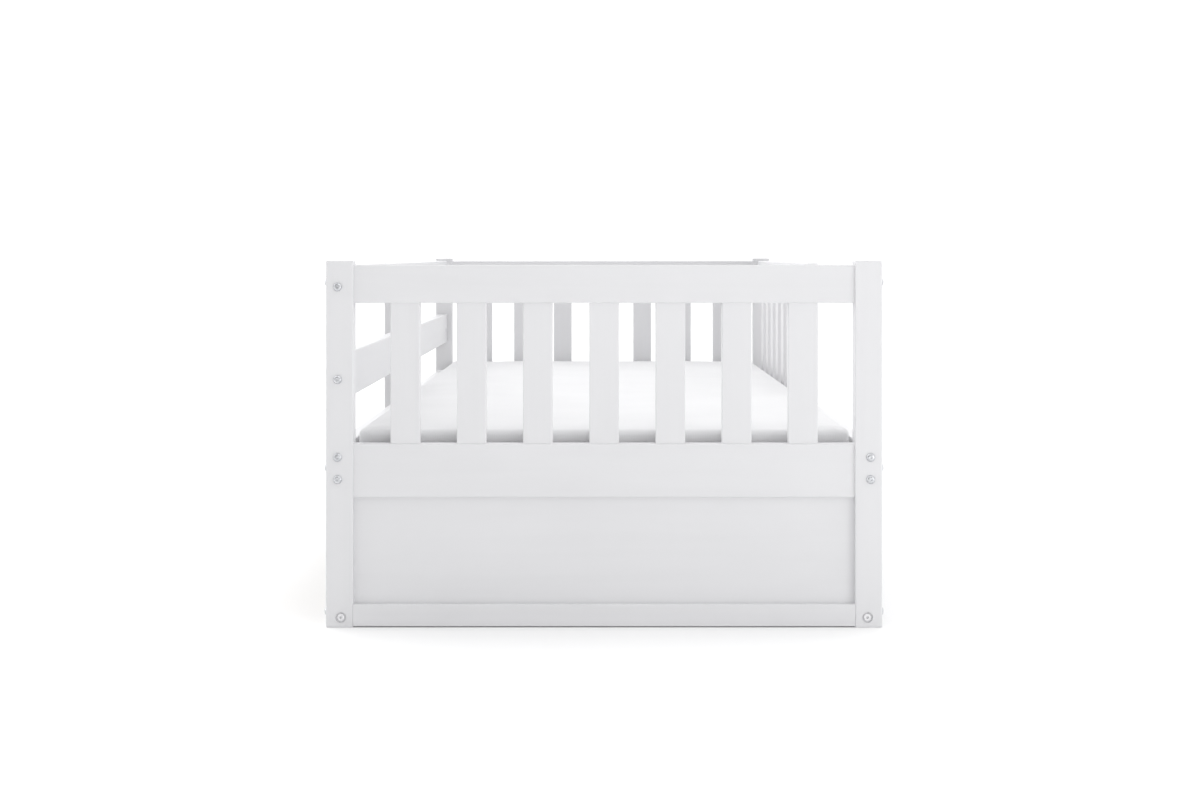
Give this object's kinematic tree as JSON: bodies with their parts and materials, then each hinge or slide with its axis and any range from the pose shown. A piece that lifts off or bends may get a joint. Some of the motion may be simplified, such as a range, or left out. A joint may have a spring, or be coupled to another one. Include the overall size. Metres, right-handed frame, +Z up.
{
  "type": "toddler bed",
  "caption": "Low white wooden toddler bed with slatted ends, a closed side, a part-length guard on the open side, a foam mattress and under-bed drawers.",
  "frame": {"origin": "on the floor, at the middle of the bed's overall box", "axes": "+X towards the open side with the guard and the drawers, +Y from the foot end to the head end, +Z up"},
  "size_m": [0.9042, 1.6706, 0.58],
  "materials": {
    "white_painted_pine": "satin white paint over planed pine, edges eased",
    "bare_pine": "planed, unpainted",
    "bare_beech": "planed, waxed where the drawers run",
    "white_hardboard": "smooth white-faced fibreboard",
    "mattress_cover": "white knitted cover with a bound seam",
    "zinc_steel": "zinc-plated",
    "white_bolt_heads": "white-lacquered heads sunk in the posts"
  },
  "bodies": {
    "bed_frame": {"back_bottom_rail": "white_painted_pine", "back_ledger": "bare_pine", "back_lower_rail": "white_painted_pine", "back_middle_board": "white_painted_pine", "back_top_rail": "white_painted_pine", "back_upright": "white_painted_pine", "barrel_nuts": "zinc_steel", "base_slats": "bare_pine", "bottom_rail_bolts": "white_bolt_heads", "dowels": "bare_beech", "drawer_divider": "white_painted_pine", "drawer_runners": "bare_beech", "drawer_stops": "bare_beech", "end_rail_bolts": "zinc_steel", "foot_back_post": "white_painted_pine", "foot_bottom_rail": "white_painted_pine", "foot_front_post": "white_painted_pine", "foot_lower_rail": "white_painted_pine", "foot_panel": "white_painted_pine", "foot_slat_1": "white_painted_pine", "foot_slat_2": "white_painted_pine", "foot_slat_3": "white_painted_pine", "foot_slat_4": "white_painted_pine", "foot_slat_5": "white_painted_pine", "foot_slat_6": "white_painted_pine", "foot_slat_7": "white_painted_pine", "foot_top_rail": "white_painted_pine", "front_bottom_rail": "white_painted_pine", "front_ledger": "bare_pine", "front_lower_rail": "white_painted_pine", "guard_rail": "white_painted_pine", "guard_slats": "white_painted_pine", "guard_stile": "white_painted_pine", "head_back_post": "white_painted_pine", "head_bottom_rail": "white_painted_pine", "head_front_post": "white_painted_pine", "head_lower_rail": "white_painted_pine", "head_panel": "white_painted_pine", "head_slat_1": "white_painted_pine", "head_slat_2": "white_painted_pine", "head_slat_3": "white_painted_pine", "head_slat_4": "white_painted_pine", "head_slat_5": "white_painted_pine", "head_slat_6": "white_painted_pine", "head_slat_7": "white_painted_pine", "head_top_rail": "white_painted_pine", "mattress": "mattress_cover", "side_rail_bolts": "zinc_steel", "tilt_battens": "bare_pine", "wood_screws": "zinc_steel"},
    "foot_drawer": {"foot_drawer_back": "white_painted_pine", "foot_drawer_bottom": "white_hardboard", "foot_drawer_fixings": "zinc_steel", "foot_drawer_front": "white_painted_pine", "foot_drawer_sides": "white_painted_pine"},
    "head_drawer": {"head_drawer_back": "white_painted_pine", "head_drawer_bottom": "white_hardboard", "head_drawer_fixings": "zinc_steel", "head_drawer_front": "white_painted_pine", "head_drawer_sides": "white_painted_pine"}
  },
  "joints": [
    {"name": "foot_drawer_slide", "type": "slide", "parent": "bed_frame", "child": "foot_drawer", "axis": [1, 0, 0], "range_m": [0, 0.5]},
    {"name": "head_drawer_slide", "type": "slide", "parent": "bed_frame", "child": "head_drawer", "axis": [1, 0, 0], "range_m": [0, 0.5]}
  ]
}
